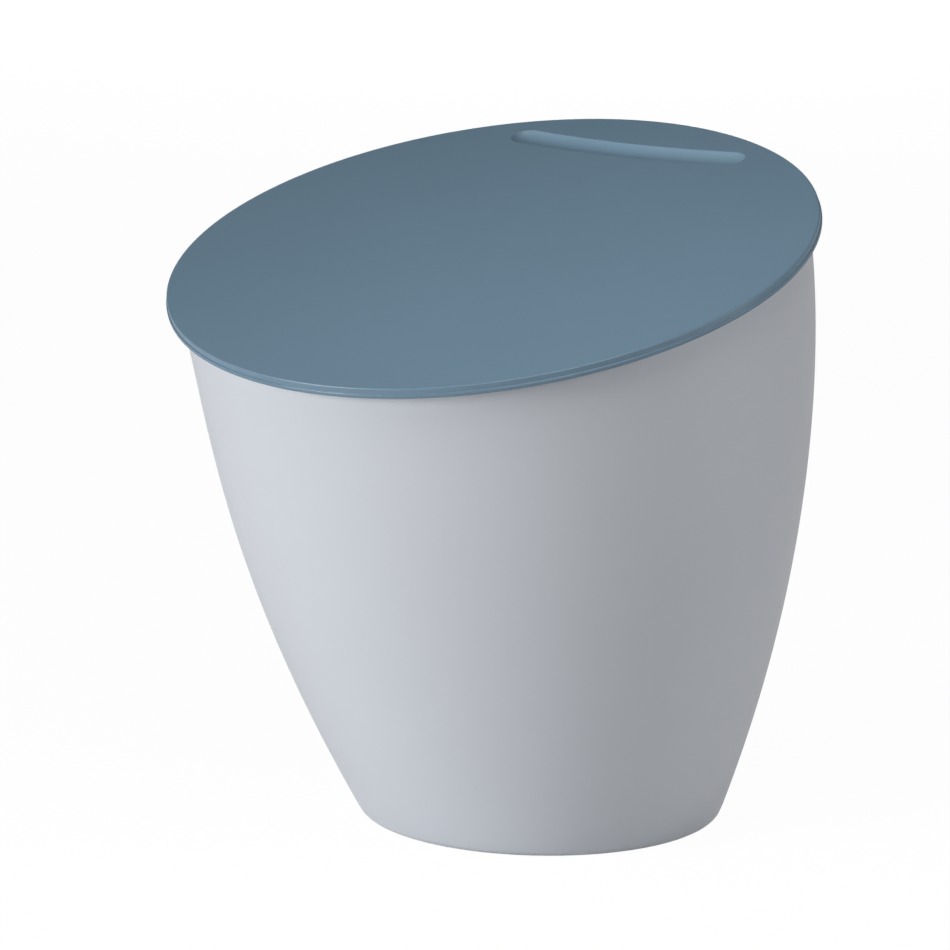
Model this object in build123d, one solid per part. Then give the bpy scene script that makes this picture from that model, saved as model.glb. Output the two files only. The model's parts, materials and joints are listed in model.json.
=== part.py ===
from build123d import *
from math import asin, cos, degrees, radians, sin
import os

# A table-top compost bin: a round one-piece bucket with a sloping mouth, and a loose flat lid.
# Millimetres, +Z up. The foot stands on z = 0. The mouth is low at the front, which faces -Y,
# and high at the back. The object is symmetric about x = 0. The origin is on the table, in
# the middle of the whole object's outline.

# Mouth of the bucket: a tilted circle
mouth_radius = 88.4
mouth_height = 165.3  # of the circle's centre above the table
mouth_tilt = 16.0  # degrees, rising to the back
mouth_reach = 28.8  # how far the circle's centre is in front of the foot's centre

# Foot of the bucket
foot_radius = 51.5  # where the wall would meet the table with no rounding
foot_rounding = 4.0
foot_ring_width = 5.0  # flat ring that touches the table
recess_depth = 1.2  # hollow of the underside within that ring

# Side lines of the bucket in the plane of symmetry. Each is a cubic curve that leaves the foot
# at an angle from upright and meets the rim at an angle from the mouth's axis. A pull is how
# far the curve follows its end's direction.
front_foot_lean = 31.9
front_foot_pull = 93.1
front_rim_flare = 6.3
front_rim_pull = 29.8
back_foot_lean = 13.7
back_foot_pull = 78.4
back_rim_tuck = 1.1
back_rim_pull = 46.8
wall_sections = 9  # circles that the wall is drawn through

# Walls of the bucket
wall = 2.5
floor = 3.2
inner_rounding = 6.0
rim_rounding = 0.9

# Lid: a plate that lies on the rim, and a locating rib that drops into the mouth
lid_overhang = 3.6  # past the outside of the rim
lid_thickness = 3.0
lid_edge_step = 0.35  # the upper half of the edge is set back by this much
lid_lower_edge = 1.3  # height of the lower half of the edge
lid_top_rounding = 0.35
lid_under_rounding = 0.5
seat_gap = 0.2  # air left between the rim and the plate
rib_clearance = 1.0  # between the rib and the inside of the rim
rib_thickness = 1.8
rib_height = 6.0
rib_rounding = 0.6

# Grip groove in the lid's top, across the high side, with rounded ends
groove_inset = 21.7  # from the lid's high edge to the middle of the groove
groove_length = 78.0
groove_width = 9.0
groove_depth = 2.2
groove_bow = 300.0  # radius that the groove is bent to, hollow side to the high edge
groove_lip = 0.5
bead_wall = 1.8  # plastic left under the groove, which shows as a bead below the plate

hair = 0.01  # edges nearer to a plane than this lie in it
seat = (Align.CENTER, Align.CENTER, Align.MIN)
hang = (Align.CENTER, Align.CENTER, Align.MAX)


def point_on(curve, t):
    """Point of a cubic curve given by four control points."""
    a, b, c, d = curve
    s = 1 - t
    return a * s**3 + b * (3 * t * s**2) + c * (3 * t**2 * s) + d * t**3


def direction_on(curve, t):
    """Direction of travel along the same curve."""
    a, b, c, d = curve
    s = 1 - t
    return ((b - a) * s**2 + (c - b) * (2 * t * s) + (d - c) * t**2).normalized()


def tilted(length, angle):
    """Vector in the plane of symmetry, turned from upright towards the back."""
    return Vector(0, length * sin(radians(angle)), length * cos(radians(angle)))


mouth_axis = tilted(1, -mouth_tilt)
mouth_slope = tilted(1, 90 - mouth_tilt)
mouth_centre = Vector(0, -mouth_reach, mouth_height)

foot_front = Vector(0, -foot_radius, 0)
foot_back = Vector(0, foot_radius, 0)
rim_front = mouth_centre - mouth_slope * mouth_radius
rim_back = mouth_centre + mouth_slope * mouth_radius

front_line = (
    foot_front,
    foot_front + tilted(front_foot_pull, -front_foot_lean),
    rim_front - tilted(front_rim_pull, -mouth_tilt - front_rim_flare),
    rim_front,
)
back_line = (
    foot_back,
    foot_back + tilted(back_foot_pull, back_foot_lean),
    rim_back - tilted(back_rim_pull, -mouth_tilt - back_rim_tuck),
    rim_back,
)


def circle_across(front, back):
    """Disc whose diameter runs from a front point to a back point."""
    across = back - front
    plane = Plane((front + back) * 0.5, x_dir=(1, 0, 0), z_dir=Vector(1, 0, 0).cross(across))
    return plane * Circle(across.length / 2)


def round_form(inset, end):
    """Solid within the wall's outside, drawn in by inset, from the foot to a share of the side lines."""
    discs = []
    for number in range(wall_sections):
        t = end * number / (wall_sections - 1)
        ahead = direction_on(front_line, t)
        behind = direction_on(back_line, t)
        front = point_on(front_line, t) + Vector(0, ahead.Z, -ahead.Y) * inset
        back = point_on(back_line, t) + Vector(0, -behind.Z, behind.Y) * inset
        discs.append(circle_across(front, back))
    return loft(discs)


def on_rim(edge):
    """Whether an edge lies in the plane of the mouth."""
    return abs((edge.center() - mouth_centre).dot(mouth_axis)) < hair


def make_bucket():
    outside = round_form(0, 1)
    outside = fillet(outside.edges().sort_by(Axis.Z)[0], foot_rounding)
    past_the_rim = 1.05
    pocket = round_form(wall, past_the_rim)
    pocket = split(pocket, Plane.XY.offset(floor), keep=Keep.TOP)
    pocket = fillet(pocket.edges().sort_by(Axis.Z)[0], inner_rounding)
    bucket = outside - pocket
    bucket = fillet(bucket.edges().filter_by(on_rim), rim_rounding)
    recess_radius = foot_radius - foot_rounding - foot_ring_width
    recess = Cone(recess_radius, recess_radius - recess_depth, recess_depth, align=seat)
    return bucket - recess


def bent_rod(radius, height, arc_half_angle, middle):
    """Round-ended rod along the groove, its centre line at a height above the plate's underside."""
    pivot = Axis((0, middle + groove_bow, 0), (0, 0, 1))
    start = Plane((0, middle, height), x_dir=(0, 1, 0), z_dir=(1, 0, 0)) * Circle(radius)
    start = start.rotate(pivot, -arc_half_angle)
    rod = revolve(start, pivot, 2 * arc_half_angle)
    for turn in (-arc_half_angle, arc_half_angle):
        rod += (Pos(0, middle, height) * Sphere(radius)).rotate(pivot, turn)
    return rod


def make_lid():
    """The lid in its own frame: the plate's underside at z = 0, the high side towards +Y."""
    lid_radius = mouth_radius + lid_overhang
    rib_radius = mouth_radius - wall - rib_clearance
    plate = Cylinder(lid_radius, lid_lower_edge, align=seat)
    plate = fillet(plate.edges().group_by(Axis.Z)[0], lid_under_rounding)
    upper = Cylinder(lid_radius - lid_edge_step, lid_thickness - lid_lower_edge, align=seat)
    upper = Pos(0, 0, lid_lower_edge) * upper
    upper = fillet(upper.edges().group_by(Axis.Z)[-1], lid_top_rounding)
    rib = Cylinder(rib_radius, rib_height, align=hang)
    rib -= Cylinder(rib_radius - rib_thickness, rib_height, align=hang)
    rib = fillet(rib.edges().group_by(Axis.Z)[0], rib_rounding)

    groove_radius = (groove_width**2 / 4 + groove_depth**2) / (2 * groove_depth)
    groove_axis = lid_thickness + groove_radius - groove_depth
    half_angle = degrees(asin((groove_length - groove_width) / 2 / groove_bow))
    groove_middle = lid_radius - groove_inset
    groove = bent_rod(groove_radius, groove_axis, half_angle, groove_middle)
    bead = bent_rod(groove_radius + bead_wall, groove_axis, half_angle, groove_middle)
    bead = split(bead, Plane.XY.offset(lid_thickness / 2), keep=Keep.BOTTOM)

    lid = plate + upper + rib + bead - groove
    top_edges = lid.edges().filter_by(lambda edge: abs(edge.center().Z - lid_thickness) < hair)
    lip = [edge for edge in top_edges if edge.bounding_box().size.X < groove_length]
    return fillet(lip, groove_lip)


bucket = make_bucket()
lid = Plane(mouth_centre + mouth_axis * seat_gap, x_dir=(1, 0, 0), z_dir=mouth_axis) * make_lid()

# The origin goes to the middle of the whole object's outline, on the table
to_origin = Pos(0, -Compound([bucket, lid]).bounding_box().center().Y, 0)

os.makedirs("parts", exist_ok=True)
export_step(to_origin * bucket, "parts/bin_body.step")
export_step(to_origin * lid, "parts/lid.step")
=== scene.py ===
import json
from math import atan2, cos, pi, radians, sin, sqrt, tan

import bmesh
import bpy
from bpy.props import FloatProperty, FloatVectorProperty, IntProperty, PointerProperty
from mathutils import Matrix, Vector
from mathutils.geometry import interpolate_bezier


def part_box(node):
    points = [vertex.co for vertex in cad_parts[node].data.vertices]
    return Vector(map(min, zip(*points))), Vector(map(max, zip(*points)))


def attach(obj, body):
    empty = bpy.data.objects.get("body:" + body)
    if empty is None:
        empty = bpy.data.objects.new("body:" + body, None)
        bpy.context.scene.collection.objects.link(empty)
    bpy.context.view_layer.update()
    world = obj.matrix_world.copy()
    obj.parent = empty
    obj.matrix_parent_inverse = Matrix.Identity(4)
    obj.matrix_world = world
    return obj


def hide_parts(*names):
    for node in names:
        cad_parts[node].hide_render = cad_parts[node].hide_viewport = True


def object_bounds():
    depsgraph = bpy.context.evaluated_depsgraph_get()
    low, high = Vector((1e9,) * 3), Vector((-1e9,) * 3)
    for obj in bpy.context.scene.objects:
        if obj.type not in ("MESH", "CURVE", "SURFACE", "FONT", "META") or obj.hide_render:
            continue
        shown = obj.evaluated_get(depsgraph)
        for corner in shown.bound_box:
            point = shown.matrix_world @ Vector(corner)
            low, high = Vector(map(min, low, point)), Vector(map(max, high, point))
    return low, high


bl_info = {
    "name": "Kitchen Compost Bin",
    "version": (1, 0, 0),
    "blender": (4, 5, 0),
    "location": "3D View > Sidebar > Compost Bin",
    "description": "Models a round table-top compost bin with a sloping mouth and a loose flat lid",
    "category": "Add Mesh",
}

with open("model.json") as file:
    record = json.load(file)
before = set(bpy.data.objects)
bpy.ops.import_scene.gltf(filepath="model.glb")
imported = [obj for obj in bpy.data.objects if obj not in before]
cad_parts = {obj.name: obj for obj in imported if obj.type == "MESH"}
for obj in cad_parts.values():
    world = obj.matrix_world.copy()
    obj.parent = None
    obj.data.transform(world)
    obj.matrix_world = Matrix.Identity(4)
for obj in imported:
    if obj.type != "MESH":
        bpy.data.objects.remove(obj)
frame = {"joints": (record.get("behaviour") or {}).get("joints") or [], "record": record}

CAD_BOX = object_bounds()

MM = 0.001
HAIR = 0.002 * MM  # points nearer than this to each other are one, or to a plane lie in it
UP = Vector((0, 0, 1))
FRONT = Vector((0, -1, 0))
BACK = Vector((0, 1, 0))
SMOOTH_UNDER = radians(25)  # faces that meet at less than this are shaded as one
ABS_IOR = 1.54
WHITE = (1, 1, 1, 1)

# Places that come from the frame: the lid lifts along the mouth's axis, the flat ring under the
# foot is the mount, and the lid is the widest piece.
MOUTH_AXIS = Vector(frame["joints"][0]["axis"]).normalized()
MOUTH_TILT = atan2(-MOUTH_AXIS.y, MOUTH_AXIS.z)
FOOT_MIDDLE = Vector((0, frame["record"]["mounts"][0]["pos_m"][1], 0))
LID_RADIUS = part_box("lid")[1].x

# Soft boxes: name, azimuth and elevation in degrees, distance and side in metres, power in watts
LAMPS = (
    ("key_lamp", -27, 10, 1.4, 0.6, 15.7),
    ("top_lamp", 37, 60, 0.4, 0.25, 0.7),
    ("side_lamp", 103, 16, 0.6, 0.4, 0.84),
    ("back_lamp", -146, 8, 2.2, 0.6, 8.6),
)


def length(name, description, millimetres):
    """Property for a length."""
    return FloatProperty(
        name=name,
        description=description,
        default=millimetres * MM,
        min=0,
        precision=5,
        subtype="DISTANCE",
        unit="LENGTH",
    )


def angle(name, description, degrees):
    """Property for an angle."""
    return FloatProperty(
        name=name, description=description, default=radians(degrees), subtype="ANGLE", unit="ROTATION"
    )


def linear(hex_colour):
    """Linear red, green and blue of an sRGB hex colour."""
    shares = (int(hex_colour[start : start + 2], 16) / 255 for start in (1, 3, 5))
    return tuple(s / 12.92 if s <= 0.04045 else ((s + 0.055) / 1.055) ** 2.4 for s in shares)


def share(name, description, default):
    """Property for a strength, where 1 is white."""
    return FloatProperty(name=name, description=description, default=default, min=0, precision=3)


def colour(name, description, hex_colour):
    """Property for a colour."""
    return FloatVectorProperty(
        name=name,
        description=description,
        default=linear(hex_colour),
        min=0,
        max=1,
        size=3,
        subtype="COLOR",
    )


class BucketSizes(bpy.types.PropertyGroup):
    """Sizes of the bucket"""

    mouth_radius: length("Mouth radius", "Outside of the rim, in the sloping plane of the mouth", 88.4)
    mouth_height: length("Mouth height", "Middle of the mouth above the table", 165.3)
    mouth_reach: length("Mouth reach", "How far the mouth's middle is in front of the foot's", 28.8)
    foot_radius: length("Foot radius", "Where the wall would meet the table with no rounding", 51.5)
    foot_rounding: length("Foot rounding", "Outer corner of the foot", 4.0)
    foot_ring_width: length("Foot ring", "Width of the flat ring that touches the table", 5.0)
    recess_depth: length("Recess depth", "Hollow of the underside within the foot ring", 1.2)
    recess_rounding: length("Recess rounding", "Both corners of that hollow", 0.4)
    front_foot_lean: angle("Front lean", "Front line from upright, where it leaves the foot", 31.9)
    front_foot_pull: length("Front foot pull", "How far the front line follows that lean", 93.1)
    front_rim_flare: angle("Front flare", "Front line from the mouth's axis, at the rim", 6.3)
    front_rim_pull: length("Front rim pull", "How far the front line follows that flare", 29.8)
    back_foot_lean: angle("Back lean", "Back line from upright, where it leaves the foot", 13.7)
    back_foot_pull: length("Back foot pull", "How far the back line follows that lean", 78.4)
    back_rim_tuck: angle("Back tuck", "Back line from the mouth's axis, at the rim", 1.1)
    back_rim_pull: length("Back rim pull", "How far the back line follows that tuck", 46.8)
    wall: length("Wall", "Thickness of the wall", 2.5)
    floor: length("Floor", "Top of the floor above the table", 3.2)
    inner_rounding: length("Inner rounding", "Corner between the floor and the wall", 6.0)
    rim_rounding: length("Rim rounding", "Both edges of the rim", 0.9)
    segments: IntProperty(name="Segments", description="Straight parts of each ring", default=176, min=16)
    wall_steps: IntProperty(name="Wall steps", description="Rings up the wall", default=50, min=20)


class LidSizes(bpy.types.PropertyGroup):
    """Sizes of the lid"""

    thickness: length("Thickness", "Thickness of the plate", 3.0)
    edge_step: length("Edge step", "How far the upper half of the edge is set back", 0.35)
    step_rounding: length("Step rounding", "Outer corner of that step", 0.24)
    step_root: length("Step root", "Inner corner of that step", 0.08)
    lower_edge: length("Lower edge", "Height of the lower half of the edge", 1.3)
    top_rounding: length("Top rounding", "Upper corner of the edge", 0.35)
    under_rounding: length("Under rounding", "Lower corner of the edge", 0.5)
    seat_gap: length("Seat gap", "Air between the rim and the plate", 0.2)
    rib_clearance: length("Rib clearance", "Between the rib and the inside of the rim", 1.0)
    rib_thickness: length("Rib thickness", "Thickness of the locating rib", 1.8)
    rib_height: length("Rib height", "How far the rib drops into the mouth", 6.0)
    rib_rounding: length("Rib rounding", "Both lower corners of the rib", 0.6)
    rib_fillet: length("Rib fillet", "Corners between the rib and the plate", 0.3)
    groove_inset: length("Groove inset", "From the lid's high edge to the middle of the groove", 21.7)
    groove_length: length("Groove length", "From end to end", 78.0)
    groove_width: length("Groove width", "From side to side", 9.0)
    groove_depth: length("Groove depth", "Below the top of the plate", 2.2)
    groove_bow: length("Groove bow", "Radius that the groove is bent to, hollow to the high edge", 300.0)
    groove_lip: length("Groove lip", "Rounding where the groove meets the top", 0.5)
    bead_wall: length("Bead wall", "Plastic left under the groove, a bead below the plate", 1.8)


class Finishes(bpy.types.PropertyGroup):
    """Colours of the two mouldings and of the floor"""

    body: colour("Body", "Pale cool grey of the bucket", "#C9CDD4")
    body_cloud: colour("Body cloud", "Where the bucket's colour has drifted in the mould", "#C4C8CF")
    body_worn: colour("Body worn", "Scuffs on the foot ring", "#B4B8BD")
    lid: colour("Lid", "Grey-blue of the lid", "#6F8A9D")
    lid_cloud: colour("Lid cloud", "Where the lid's colour has drifted in the mould", "#6B8699")
    # Painted shade: a darker colour on the lid's edge, standing in for the shade that falls on the side
    # of the lid
    lid_edge_shade: colour("Lid worn", "Edge of the lid, polished by hands", "#5D778A")
    floor: colour("Floor", "Pale floor and backdrop", "#EEEEEE")


class LightLevels(bpy.types.PropertyGroup):
    """Strengths of the room and of the floor's glow"""

    ambient: share("Ambient", "Light that reaches the object from all round", 0.05)
    at_backdrop: share("Backdrop", "How bright gloss and glass show the low backdrop", 0.5)
    over_backdrop: share("Over backdrop", "How bright gloss and glass show the room above it", 0.05)
    backdrop_edge: angle("Backdrop edge", "Height over the horizon up to which the backdrop is even", 3)
    room_edge: angle("Room edge", "Height from which the room is even", 22)
    floor_glow: share("Floor glow", "Strength of the floor's glow", 1.02)
    seen_glow: share("Seen glow", "Share of glow in the floor that the eye sees", 0.95)
    mirrored_glow: share("Mirrored glow", "Share of glow in the floor that gloss and glass show", 0.35)


class StageSizes(bpy.types.PropertyGroup):
    """Place of the camera"""

    azimuth: angle("Azimuth", "Camera round the object, from the front towards +X", 33.68)
    elevation: angle("Elevation", "Camera above the horizon", 11.94)
    roll: angle("Roll", "Camera turned about its own line of sight", 0.83)
    distance: length("Distance", "From the camera to the plane of the object", 1500)
    target_height: length("Target height", "Point over the foot that the framing starts from", 90)
    slide_right: length("Slide right", "How far the camera is left of that point", 20.13)
    slide_up: length("Slide up", "How far the camera is above that point", 8.27)
    pixel: length("Pixel", "Size of a pixel of the photograph at the object", 1 / 3.5)


def tilted(distance, tilt):
    """Vector in the plane of symmetry, turned from upright towards the back."""
    return Vector((0, distance * sin(tilt), distance * cos(tilt)))


def mouth_middle(sizes):
    """Middle of the bucket's sloping mouth."""
    return FOOT_MIDDLE + FRONT * sizes.mouth_reach + UP * sizes.mouth_height


def rounded(posts, steps=6):
    """Line through the posts. Each post is a point and the radius that its corner is rounded to."""
    points = []
    for number, (corner, radius) in enumerate(posts):
        if not radius:
            points.append(corner)
            continue
        before = (posts[number - 1][0] - corner).normalized()
        after = (posts[number + 1][0] - corner).normalized()
        turn = pi - before.angle(after)
        reach = radius * tan(turn / 2)
        handle = reach - radius * tan(turn / 4) * 4 / 3  # of the cubic that comes nearest to an arc
        points += interpolate_bezier(
            corner + before * reach,
            corner + before * handle,
            corner + after * handle,
            corner + after * reach,
            steps + 1,
        )
    return points


def arc(centre, radius, start, end, steps):
    """Points on an arc in the plane of symmetry. Angles run from the back, upwards."""
    angles = (start + (end - start) * number / steps for number in range(steps + 1))
    return [centre + (BACK * cos(a) + UP * sin(a)) * radius for a in angles]


def start_piece(name, add, **settings):
    """Adds a primitive with nothing else selected, and opens it in edit mode with all of it selected."""
    bpy.ops.object.select_all(action="DESELECT")
    add(**settings)
    piece = bpy.context.object
    piece.name = name
    piece.data.name = name
    bpy.ops.object.mode_set(mode="EDIT")
    bpy.ops.mesh.select_mode(type="VERT")
    bpy.ops.mesh.select_all(action="SELECT")
    return piece


def extrude(travel):
    """Extrudes what is selected, and leaves the new end selected."""
    bpy.ops.mesh.extrude_region_move(TRANSFORM_OT_translate={"value": travel})


def select_edges(piece, wanted):
    """Selects the edges for which wanted is true, and nothing else."""
    bpy.ops.mesh.select_mode(type="EDGE")
    bpy.ops.mesh.select_all(action="DESELECT")
    mesh = bmesh.from_edit_mesh(piece.data)
    for edge in mesh.edges:
        if wanted(edge):
            edge.select_set(True)
    bmesh.update_edit_mesh(piece.data)


def ring_across(front, back):
    """Middle, radius and tilt of the ring whose diameter runs from a front point to a back point."""
    across = back - front
    return (front + back) / 2, across.length / 2, atan2(across.z, across.y)


def draw_rings(name, front_points, back_points, segments):
    """Skin drawn as by hand: a circle is extruded, scaled and tilted from pair to pair of points."""
    middle, radius, tilt = ring_across(front_points[0], back_points[0])
    piece = start_piece(name, bpy.ops.mesh.primitive_circle_add, vertices=segments, radius=radius)
    bpy.ops.transform.translate(value=middle)
    for front, back in zip(front_points[1:], back_points[1:]):
        new_middle, new_radius, new_tilt = ring_across(front, back)
        extrude(new_middle - middle)
        bpy.ops.transform.resize(value=(new_radius / radius,) * 3, center_override=new_middle)
        # With no window this operator turns clockwise, so the turn is given the other way
        bpy.ops.transform.rotate(value=tilt - new_tilt, orient_axis="X", center_override=new_middle)
        middle, radius, tilt = new_middle, new_radius, new_tilt
    return piece


def close_mesh():
    """Merges doubles, fills the open loops and points the faces outwards, then leaves edit mode."""
    bpy.ops.mesh.select_all(action="SELECT")
    bpy.ops.mesh.remove_doubles(threshold=HAIR)
    bpy.ops.mesh.fill_holes(sides=0)
    bpy.ops.mesh.normals_make_consistent(inside=False)
    bpy.ops.object.mode_set(mode="OBJECT")


def finish_piece(piece, material, body, node):
    """Smooths the piece, gives it its material and ties it to the frame."""
    bpy.ops.object.transform_apply(location=True, rotation=True, scale=True)
    bpy.ops.object.shade_smooth_by_angle(angle=SMOOTH_UNDER)
    piece.data.materials.append(material)
    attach(piece, body)
    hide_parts(node)


def side_line(outwards, rim, foot_radius, foot_handle, rim_handle, steps):
    """Points up one side of the bucket, evenly along its cubic curve."""
    foot = FOOT_MIDDLE + outwards * foot_radius
    return interpolate_bezier(foot, foot + foot_handle, rim - rim_handle, rim, steps + 1)


def inner_line(outside, outwards, wall):
    """The same side line, moved in by the wall."""
    inside = []
    for below, point, above in zip(outside, outside[1:], outside[2:]):
        inwards = Vector((1, 0, 0)).cross(above - below).normalized()
        inside.append(point - inwards * wall * (1 if inwards.dot(outwards) > 0 else -1))
    return inside


def bucket_section(outwards, outside, sizes):
    """Half of the bucket's section, from under the floor, round foot and rim, to the top of the floor.

    Both ends stop short of the middle, where close_mesh fills the flat discs.
    """

    def over_foot(radius, height):
        return FOOT_MIDDLE + outwards * radius + UP * height

    recess_radius = sizes.foot_radius - sizes.foot_rounding - sizes.foot_ring_width
    recess_inside = recess_radius - sizes.recess_depth
    disc_share = 0.9  # of the recess's flat inside that is filled as one disc
    rim = outside[-1]
    to_mouth_middle = (mouth_middle(sizes) - rim).normalized()
    inside = inner_line(outside, outwards, sizes.wall)
    low, high = inside[0], inside[1]
    floor_corner = low.lerp(high, (sizes.floor - low.z) / (high.z - low.z))
    return rounded(
        [
            (over_foot(recess_inside * disc_share, sizes.recess_depth), 0),
            (over_foot(recess_inside, sizes.recess_depth), sizes.recess_rounding),
            (over_foot(recess_radius, 0), sizes.recess_rounding),
            (over_foot(sizes.foot_radius, 0), sizes.foot_rounding),
            *((point, 0) for point in outside[1:-1]),
            (rim, sizes.rim_rounding),
            (rim + to_mouth_middle * sizes.wall, sizes.rim_rounding),
            *((point, 0) for point in reversed(inside[2:])),
            (floor_corner, sizes.inner_rounding),
            (over_foot(sizes.foot_radius / 2, sizes.floor), 0),
        ]
    )


def lid_section(outwards, sizes, bucket):
    """Half of the lid's section in its own frame, from the underside, round rib and edge, to the top."""

    def at(radius, height, rounding=0):
        return outwards * radius + UP * height, rounding

    rib_outside = bucket.mouth_radius - bucket.wall - sizes.rib_clearance
    rib_inside = rib_outside - sizes.rib_thickness
    upper_radius = LID_RADIUS - sizes.edge_step
    return rounded(
        [
            at(rib_inside - 2 * sizes.rib_fillet - sizes.rib_thickness, 0),
            at(rib_inside, 0, sizes.rib_fillet),
            at(rib_inside, -sizes.rib_height, sizes.rib_rounding),
            at(rib_outside, -sizes.rib_height, sizes.rib_rounding),
            at(rib_outside, 0, sizes.rib_fillet),
            at(LID_RADIUS, 0, sizes.under_rounding),
            at(LID_RADIUS, sizes.lower_edge, sizes.step_rounding),
            at(upper_radius, sizes.lower_edge, sizes.step_root),
            at(upper_radius, sizes.thickness, sizes.top_rounding),
            at(upper_radius - 3 * sizes.top_rounding, sizes.thickness),
        ]
    )


def groove_section(radius, axis_height, sizes):
    """Half of the groove's section: the underside of a rod, then a lip that runs out into the top."""
    lip_height = sizes.thickness - sizes.groove_lip
    drop = axis_height - lip_height
    half_width = sqrt((radius + sizes.groove_lip) ** 2 - drop**2)
    meeting = atan2(-drop, half_width)
    trough = arc(UP * axis_height, radius, start=-pi / 2, end=meeting, steps=10)
    lip_centre = BACK * half_width + UP * lip_height
    lip = arc(lip_centre, sizes.groove_lip, start=meeting + pi, end=pi / 2, steps=7)
    return trough + lip[1:] + [BACK * (half_width + sizes.groove_lip / 2) + UP * sizes.thickness]


def bead_section(radius, axis_height, buried):
    """Half of the bead's section: the underside of a thicker rod, up to a height within the plate."""
    drop = axis_height - buried
    meeting = atan2(-drop, sqrt(radius**2 - drop**2))
    return arc(UP * axis_height, radius, start=-pi / 2, end=meeting, steps=12)


def draw_trough(name, section, sizes):
    """Round-ended trough, bent to the bow: its half-section is spun round one end, then to the middle.

    Spin turns clockwise seen from above.
    """
    half_angle = groove_half_angle(sizes)
    pivot = BACK * (LID_RADIUS - sizes.groove_inset + sizes.groove_bow)
    to_low_side = Matrix.Rotation(-half_angle, 3, "Z") @ FRONT
    end = pivot + to_low_side * sizes.groove_bow
    along = to_low_side.cross(UP)
    points = [end + to_low_side * point.y + UP * point.z for point in section]
    piece = start_piece(name, bpy.ops.mesh.primitive_plane_add, size=MM)
    bpy.ops.mesh.merge(type="CENTER")
    bpy.ops.transform.translate(value=points[0])
    for before, after in zip(points, points[1:]):
        extrude(after - before)
    bpy.ops.mesh.select_all(action="SELECT")
    bpy.ops.mesh.spin(steps=28, angle=pi, center=end, axis=UP)
    bpy.ops.mesh.select_all(action="SELECT")
    bpy.ops.mesh.remove_doubles(threshold=HAIR)
    select_edges(piece, lambda edge: all(abs((v.co - end).dot(along)) < HAIR for v in edge.verts))
    bpy.ops.mesh.spin(steps=24, angle=-half_angle, center=pivot, axis=UP)
    bpy.ops.object.mode_set(mode="OBJECT")
    mirror = piece.modifiers.new("other half", "MIRROR")
    mirror.merge_threshold = HAIR
    bpy.ops.object.modifier_apply(modifier=mirror.name)
    bpy.ops.object.mode_set(mode="EDIT")
    return piece


def groove_half_angle(sizes):
    """Half of the angle that the groove takes of its bow, from end centre to middle."""
    half_run = (sizes.groove_length - sizes.groove_width) / 2
    return atan2(half_run, sqrt(sizes.groove_bow**2 - half_run**2))


def take_in(other):
    """Joins another open mesh to the one in hand, and opens the result in edit mode."""
    bpy.ops.object.mode_set(mode="OBJECT")
    other.select_set(True)
    bpy.ops.object.join()
    bpy.ops.object.mode_set(mode="EDIT")


def unite(piece, other):
    """Makes one solid of two closed ones."""
    union = piece.modifiers.new("union", "BOOLEAN")
    union.operation = "UNION"
    union.object = other
    bpy.ops.object.modifier_apply(modifier=union.name)
    bpy.data.objects.remove(other)


def add_node(tree, kind, sockets=None, **settings):
    """Adds a node with its settings. Each named socket gets a value or another node's output."""
    node = tree.nodes.new(kind)
    for name, value in settings.items():
        setattr(node, name, value)
    for name, value in (sockets or {}).items():
        if isinstance(value, bpy.types.NodeSocket):
            tree.links.new(value, node.inputs[name])
        else:
            node.inputs[name].default_value = value
    return node


def new_material(name):
    """Empty node material and its tree."""
    material = bpy.data.materials.new(name)
    material.use_nodes = True
    material.node_tree.nodes.clear()
    return material, material.node_tree


def rgba(colour_value):
    """Colour with full alpha, for a socket."""
    return (*colour_value, 1)


def noise(tree, place, width, detail):
    """Noise whose patches are about this wide."""
    node = add_node(tree, "ShaderNodeTexNoise", {"Vector": place, "Scale": 1 / width, "Detail": detail})
    return node.outputs["Fac"]


def ranged(tree, value, start=0, end=1, at_start=0, at_end=1):
    """Goes evenly from one number to another while the value goes from start to end."""
    node = add_node(
        tree,
        "ShaderNodeMapRange",
        {"Value": value, "From Min": start, "From Max": end, "To Min": at_start, "To Max": at_end},
    )
    return node.outputs["Result"]


def between(tree, patches, lowest, highest):
    """Drifts between two numbers as the patches of a noise do."""
    usual_low, usual_high = 0.3, 0.7  # noise seldom leaves this range
    return ranged(tree, patches, usual_low, usual_high, lowest, highest)


def worked_out(tree, operation, *values):
    """Result of a sum on numbers and other nodes' outputs."""
    return add_node(tree, "ShaderNodeMath", dict(enumerate(values)), operation=operation).outputs["Value"]


def blended(tree, factor, first, second):
    """Colour that lies between two others by the factor."""
    node = add_node(tree, "ShaderNodeMix", {"Factor": factor, "A": first, "B": second}, data_type="RGBA")
    return node.outputs["Result"]


def add_abs(tree, skin, roughness, relief, strength, depth):
    """Ends the tree of a moulded ABS with its fine relief, its shader and the output."""
    bump = add_node(tree, "ShaderNodeBump", {"Height": relief, "Strength": strength, "Distance": depth})
    shader = add_node(
        tree,
        "ShaderNodeBsdfPrincipled",
        {"Base Color": skin, "Roughness": roughness, "Normal": bump.outputs["Normal"], "IOR": ABS_IOR},
    )
    add_node(tree, "ShaderNodeOutputMaterial", {"Surface": shader.outputs["BSDF"]})


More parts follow.
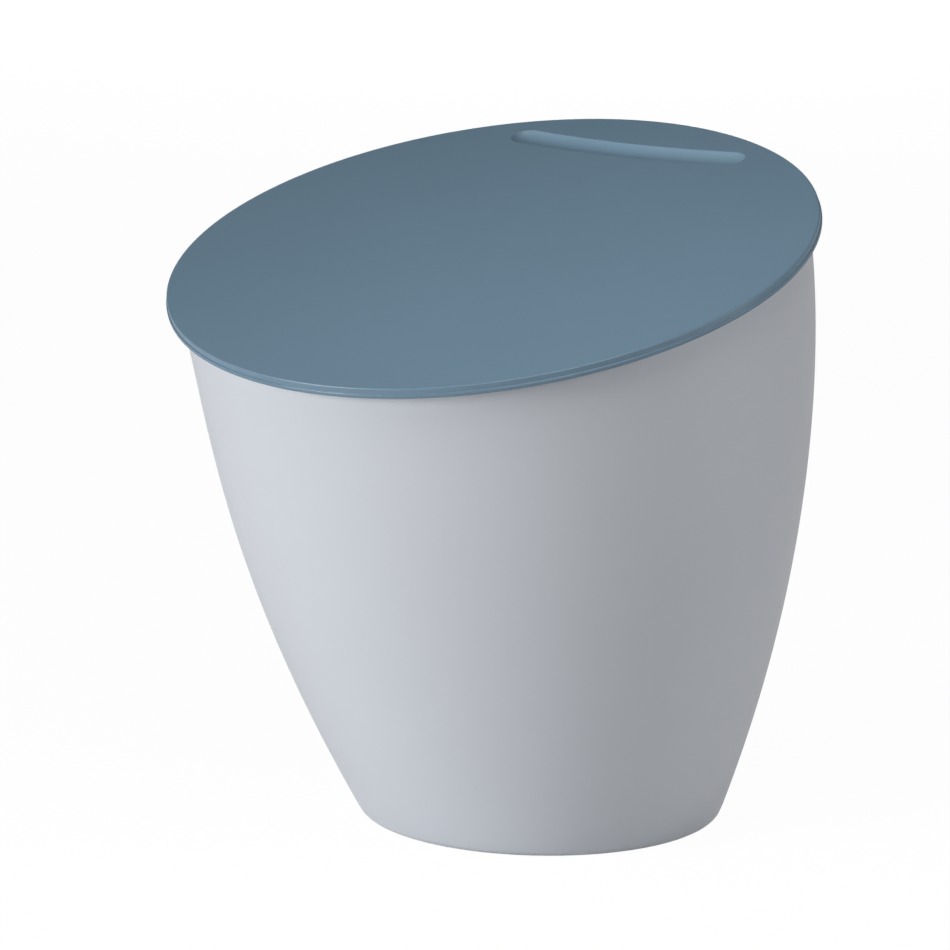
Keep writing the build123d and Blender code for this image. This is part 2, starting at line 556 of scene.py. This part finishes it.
def polished_abs(finishes):
    """Moulded ABS from a polished steel mould.

    A smooth semi-gloss skin that mirrors softly, with a faint orange-peel waviness from the
    mould, slow drifts of tone where the melt flowed, and scuffs where the foot slides on a table.
    """
    flow_width = 70 * MM
    peel_width = 2.2 * MM
    smear_width = 14 * MM
    scuff_width = 1.5 * MM
    scuff_height = 1.6 * MM
    scuff_from, scuff_full = 0.42, 0.62
    least_rough, most_rough = 0.28, 0.34
    scuffs_add = 0.25  # to the roughness
    peel_depth = 0.02 * MM
    peel_strength = 0.25
    material, tree = new_material("moulded_abs_polished")
    place = add_node(tree, "ShaderNodeTexCoord").outputs["Object"]
    height = add_node(tree, "ShaderNodeSeparateXYZ", {"Vector": place}).outputs["Z"]
    flow = noise(tree, place, flow_width, detail=2)
    smear = noise(tree, place, smear_width, detail=4)
    peel = noise(tree, place, peel_width, detail=1)
    scuff = noise(tree, place, scuff_width, detail=6)
    low = ranged(tree, height, start=scuff_height, end=0)
    scuffs_and_edge_shade = ranged(tree, scuff, start=scuff_from, end=scuff_full)
    worn = worked_out(tree, "MULTIPLY", low, scuffs_and_edge_shade)
    tone = blended(tree, flow, rgba(finishes.body), rgba(finishes.body_cloud))
    skin = blended(tree, worn, tone, rgba(finishes.body_worn))
    sheen = between(tree, smear, least_rough, most_rough)
    roughness = worked_out(tree, "MULTIPLY_ADD", worn, scuffs_add, sheen)
    add_abs(tree, skin, roughness, peel, peel_strength, peel_depth)
    return material


def satin_abs(finishes, lid_seat):
    """Moulded ABS from a spark-eroded steel mould.

    A fine satin grain that spreads the light, slow drifts of tone, and an edge that hands have
    polished, which makes it glossier. The edge's darker colour is painted shade on the side of the lid.
    """
    flow_width = 60 * MM
    grain_width = 0.7 * MM  # the real grain is about 0.1 mm, too fine to show
    smear_width = 18 * MM
    # Band along the edge that gets painted shade in its colour and extra gloss in its roughness
    shaded_edge_width = 1.2 * MM
    least_rough, most_rough = 0.44, 0.5
    rubbing_adds = -0.24  # to the roughness
    grain_depth = 0.03 * MM
    grain_strength = 0.35
    material, tree = new_material("moulded_abs_satin")
    place = add_node(tree, "ShaderNodeTexCoord").outputs["Object"]
    seated = add_node(
        tree,
        "ShaderNodeMapping",
        {"Vector": place, "Location": lid_seat, "Rotation": (MOUTH_TILT, 0, 0)},
        vector_type="TEXTURE",
    )
    flow = noise(tree, place, flow_width, detail=2)
    smear = noise(tree, place, smear_width, detail=4)
    grain = noise(tree, place, grain_width, detail=2)
    across = add_node(
        tree,
        "ShaderNodeVectorMath",
        {0: seated.outputs["Vector"], 1: (1, 1, 0)},
        operation="MULTIPLY",
    )
    from_axis = add_node(tree, "ShaderNodeVectorMath", {0: across.outputs["Vector"]}, operation="LENGTH")
    edge = ranged(tree, from_axis.outputs["Value"], start=LID_RADIUS - shaded_edge_width, end=LID_RADIUS)
    # Painted shade: the band along the edge takes the darker edge colour, broken up by the smear noise
    scuffs_and_edge_shade = worked_out(tree, "MULTIPLY", edge, smear)
    tone = blended(tree, flow, rgba(finishes.lid), rgba(finishes.lid_cloud))
    skin = blended(tree, scuffs_and_edge_shade, tone, rgba(finishes.lid_edge_shade))
    sheen = between(tree, smear, least_rough, most_rough)
    roughness = worked_out(tree, "MULTIPLY_ADD", edge, rubbing_adds, sheen)
    add_abs(tree, skin, roughness, grain, grain_strength, grain_depth)
    return material


def by_ray(tree, seen, mirrored, otherwise):
    """Value for what the eye sees directly, for what gloss or glass shows it, and for all other light.

    Each of the three is a number or the output of another node.
    """
    path = add_node(tree, "ShaderNodeLightPath").outputs
    in_gloss = worked_out(tree, "MAXIMUM", path["Is Glossy Ray"], path["Is Transmission Ray"])
    unseen = ranged(tree, in_gloss, at_start=otherwise, at_end=mirrored)
    return ranged(tree, path["Is Camera Ray"], at_start=unseen, at_end=seen)


def matt_paint(finishes, levels):
    """Matt white paint of a photographer's table, which shows as white and keeps a pale shadow."""
    material, tree = new_material("matt_white_paint")
    paint = add_node(tree, "ShaderNodeBsdfDiffuse", {"Color": rgba(finishes.floor)})
    glow = add_node(tree, "ShaderNodeEmission", {"Color": WHITE, "Strength": levels.floor_glow})
    glowing = by_ray(tree, seen=levels.seen_glow, mirrored=levels.mirrored_glow, otherwise=0)
    both = add_node(
        tree,
        "ShaderNodeMixShader",
        {0: glowing, 1: paint.outputs["BSDF"], 2: glow.outputs["Emission"]},
    )
    add_node(tree, "ShaderNodeOutputMaterial", {"Surface": both.outputs["Shader"]})
    return material


class COMPOST_BIN_OT_bucket(bpy.types.Operator):
    """Model the bucket with its sloping mouth"""

    bl_idname = "compost_bin.bucket"
    bl_label = "Bucket"
    bl_options = {"REGISTER", "UNDO"}

    def execute(self, context):
        sizes = context.scene.bucket_sizes
        slope = tilted(sizes.mouth_radius, pi / 2 - MOUTH_TILT)
        middle = mouth_middle(sizes)
        front_outside = side_line(
            FRONT,
            middle - slope,
            sizes.foot_radius,
            tilted(sizes.front_foot_pull, -sizes.front_foot_lean),
            tilted(sizes.front_rim_pull, -MOUTH_TILT - sizes.front_rim_flare),
            sizes.wall_steps,
        )
        back_outside = side_line(
            BACK,
            middle + slope,
            sizes.foot_radius,
            tilted(sizes.back_foot_pull, sizes.back_foot_lean),
            tilted(sizes.back_rim_pull, -MOUTH_TILT - sizes.back_rim_tuck),
            sizes.wall_steps,
        )
        front_points = bucket_section(FRONT, front_outside, sizes)
        back_points = bucket_section(BACK, back_outside, sizes)
        piece = draw_rings("bucket_shell", front_points, back_points, sizes.segments)
        close_mesh()
        finish_piece(piece, polished_abs(context.scene.finishes), "bin", "bin_body")
        return {"FINISHED"}


class COMPOST_BIN_OT_lid(bpy.types.Operator):
    """Model the lid with its rib, its stepped edge and its grip groove"""

    bl_idname = "compost_bin.lid"
    bl_label = "Lid"
    bl_options = {"REGISTER", "UNDO"}

    def execute(self, context):
        sizes = context.scene.lid_sizes
        bucket = context.scene.bucket_sizes
        rod_radius = (sizes.groove_width**2 / 4 + sizes.groove_depth**2) / (2 * sizes.groove_depth)
        rod_height = sizes.thickness + rod_radius - sizes.groove_depth
        in_the_plate = (sizes.thickness - sizes.groove_depth) / 2
        groove = draw_trough("groove", groove_section(rod_radius, rod_height, sizes), sizes)
        bpy.ops.object.mode_set(mode="OBJECT")
        bead_outline = bead_section(rod_radius + sizes.bead_wall, rod_height, in_the_plate)
        bead = draw_trough("bead", bead_outline, sizes)
        close_mesh()
        front_points = lid_section(FRONT, sizes, bucket)
        back_points = lid_section(BACK, sizes, bucket)
        piece = draw_rings("lid_cover", front_points, back_points, bucket.segments)
        take_in(groove)
        select_edges(piece, lambda edge: edge.is_boundary and edge.verts[0].co.z > in_the_plate)
        bpy.ops.mesh.fill()
        close_mesh()
        unite(piece, bead)
        lid_seat = mouth_middle(bucket) + MOUTH_AXIS * sizes.seat_gap
        piece.location = lid_seat
        piece.rotation_euler.x = MOUTH_TILT
        finish_piece(piece, satin_abs(context.scene.finishes, lid_seat), "lid", "lid")
        return {"FINISHED"}


class COMPOST_BIN_OT_stage(bpy.types.Operator):
    """Set up the floor, the lamps and the camera"""

    bl_idname = "compost_bin.stage"
    bl_label = "Stage"
    bl_options = {"REGISTER", "UNDO"}

    def execute(self, context):
        scene = context.scene
        add_floor(scene.finishes, scene.light_levels)
        add_world(scene, scene.light_levels)
        for lamp in LAMPS:
            add_lamp(*lamp)
        add_camera(scene, scene.stage_sizes)
        scene.view_settings.view_transform = "Standard"
        return {"FINISHED"}


def add_floor(finishes, levels):
    """Floor, large enough to fill every view from above."""
    floor_side = 8
    bpy.ops.object.select_all(action="DESELECT")
    bpy.ops.mesh.primitive_plane_add(size=floor_side)
    floor = bpy.context.object
    floor.name = "floor"
    floor.data.materials.append(matt_paint(finishes, levels))


def add_world(scene, levels):
    """Soft room: a little light from all round, and a low backdrop that shows in gloss and glass.

    The eye sees white in every direction.
    """
    scene.world = bpy.data.worlds.new("soft_room")
    scene.world.use_nodes = True
    tree = scene.world.node_tree
    tree.nodes.clear()
    direction = add_node(tree, "ShaderNodeTexCoord").outputs["Generated"]
    height = add_node(tree, "ShaderNodeSeparateXYZ", {"Vector": direction}).outputs["Z"]
    backdrop = ranged(
        tree,
        height,
        start=sin(levels.backdrop_edge),
        end=sin(levels.room_edge),
        at_start=levels.at_backdrop,
        at_end=levels.over_backdrop,
    )
    strength = by_ray(tree, seen=1, mirrored=backdrop, otherwise=levels.ambient)
    sky = add_node(tree, "ShaderNodeBackground", {"Color": WHITE, "Strength": strength})
    add_node(tree, "ShaderNodeOutputWorld", {"Surface": sky.outputs["Background"]})


def around(azimuth, elevation):
    """Direction from the object. Azimuth runs from the front towards +X."""
    return Vector((sin(azimuth) * cos(elevation), -cos(azimuth) * cos(elevation), sin(elevation)))


def add_lamp(name, azimuth, elevation, distance, side, power):
    """Square soft box that faces the middle of the object."""
    direction = around(radians(azimuth), radians(elevation))
    middle = (CAD_BOX[0] + CAD_BOX[1]) / 2
    turned = direction.to_track_quat("Z", "Y").to_euler()
    bpy.ops.object.light_add(type="AREA", location=middle + direction * distance, rotation=turned)
    lamp = bpy.context.object
    lamp.name = name
    lamp.data.energy = power
    lamp.data.size = side


def add_camera(scene, stage):
    """Camera at the photograph's viewing angle."""
    photo_side = 950
    turned = (
        Matrix.Rotation(stage.azimuth, 4, "Z")
        @ Matrix.Rotation(pi / 2 - stage.elevation, 4, "X")
        @ Matrix.Rotation(stage.roll, 4, "Z")
    )
    target = FOOT_MIDDLE + UP * stage.target_height
    offset = turned @ Vector((-stage.slide_right, stage.slide_up, stage.distance))
    bpy.ops.object.camera_add(location=target + offset, rotation=turned.to_euler())
    camera = bpy.context.object
    camera.name = "photo_camera"
    camera.data.sensor_width = 36
    camera.data.lens = camera.data.sensor_width * stage.distance / (stage.pixel * photo_side)
    camera.data.clip_end = 20
    scene.camera = camera


class COMPOST_BIN_PT_parts(bpy.types.Panel):
    """Sizes, colours and pieces of the compost bin"""

    bl_label = "Compost Bin"
    bl_space_type = "VIEW_3D"
    bl_region_type = "UI"
    bl_category = "Compost Bin"

    def draw(self, context):
        for operator in OPERATORS:
            self.layout.operator(operator.bl_idname)
        for name, group in GROUPS.items():
            box = self.layout.box()
            box.label(text=group.__doc__)
            for setting in group.__annotations__:
                box.prop(getattr(context.scene, name), setting)


OPERATORS = (COMPOST_BIN_OT_bucket, COMPOST_BIN_OT_lid, COMPOST_BIN_OT_stage)
GROUPS = {
    "bucket_sizes": BucketSizes,
    "lid_sizes": LidSizes,
    "finishes": Finishes,
    "light_levels": LightLevels,
    "stage_sizes": StageSizes,
}


def register():
    for name, group in GROUPS.items():
        bpy.utils.register_class(group)
        setattr(bpy.types.Scene, name, PointerProperty(type=group))
    for operator in OPERATORS:
        bpy.utils.register_class(operator)
    bpy.utils.register_class(COMPOST_BIN_PT_parts)


def unregister():
    bpy.utils.unregister_class(COMPOST_BIN_PT_parts)
    for operator in reversed(OPERATORS):
        bpy.utils.unregister_class(operator)
    for name, group in GROUPS.items():
        delattr(bpy.types.Scene, name)
        bpy.utils.unregister_class(group)


def main():
    register()
    bpy.ops.compost_bin.bucket()
    bpy.ops.compost_bin.lid()
    bpy.ops.compost_bin.stage()


if __name__ == "__main__":
    main()
